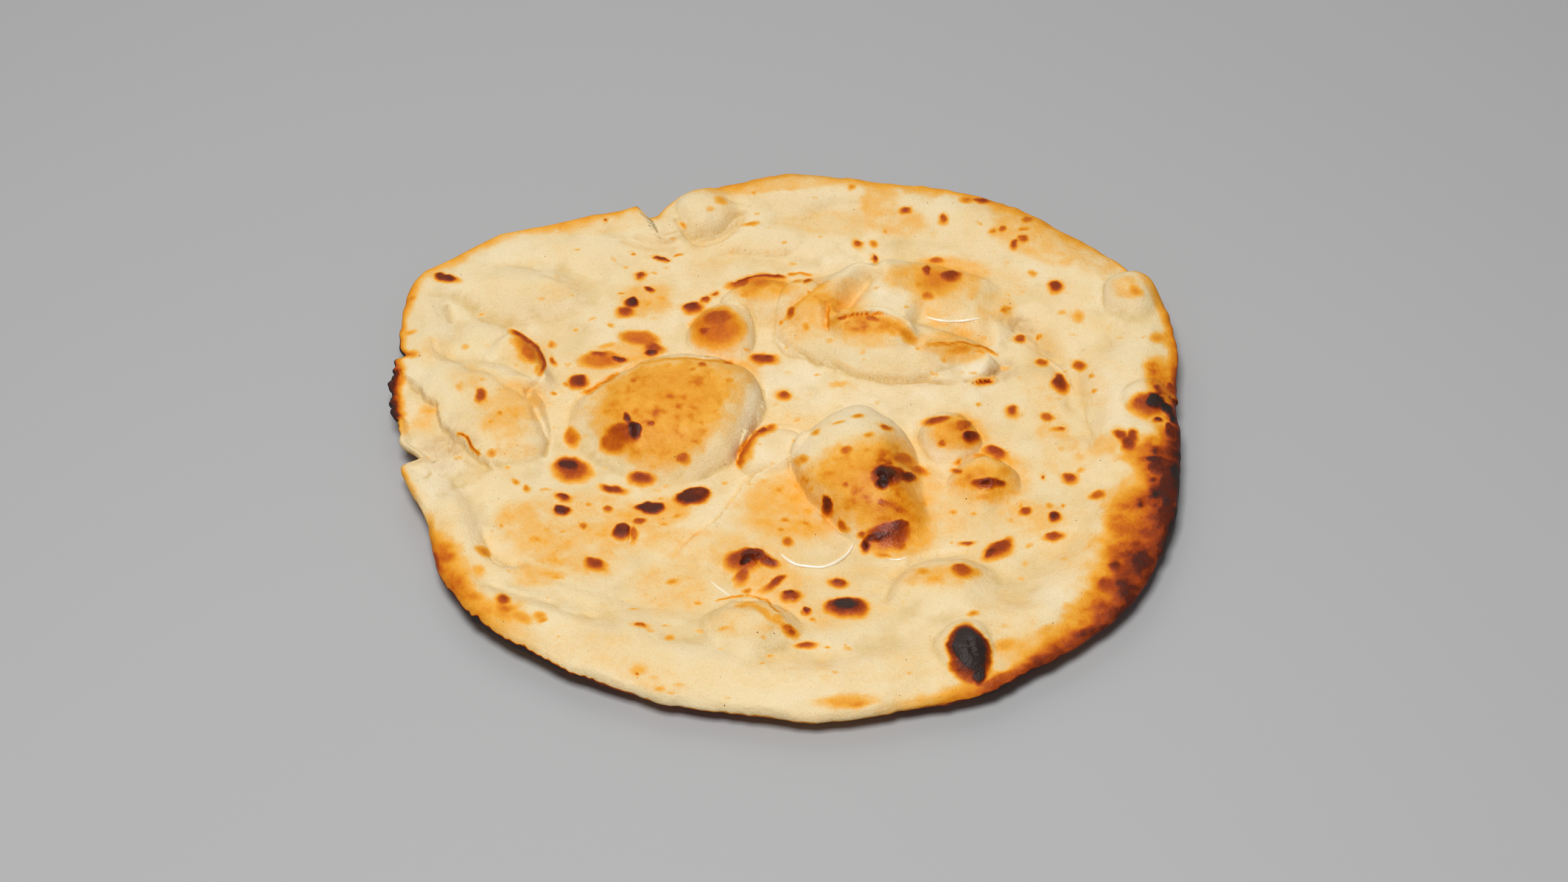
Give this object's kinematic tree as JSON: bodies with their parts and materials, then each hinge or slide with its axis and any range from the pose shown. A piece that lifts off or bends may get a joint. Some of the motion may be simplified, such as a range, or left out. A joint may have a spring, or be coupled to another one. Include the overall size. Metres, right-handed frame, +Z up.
{
  "type": "naan bread",
  "caption": "Whole tandoor-baked naan: a thin leaf of dough with a puffed rim, big browned blisters, a sunken pocket and a torn flap.",
  "frame": {"origin": "under the middle of the bread's box, on the surface that it lies on", "axes": "+X along the bread's longest extent, towards its right-hand rim; +Z up, through the thickness of the bread"},
  "size_m": [0.2714, 0.2534, 0.0208],
  "materials": {
    "baked_crust": "satin"
  },
  "bodies": {
    "root": {"naan": "baked_crust"}
  },
  "joints": []
}
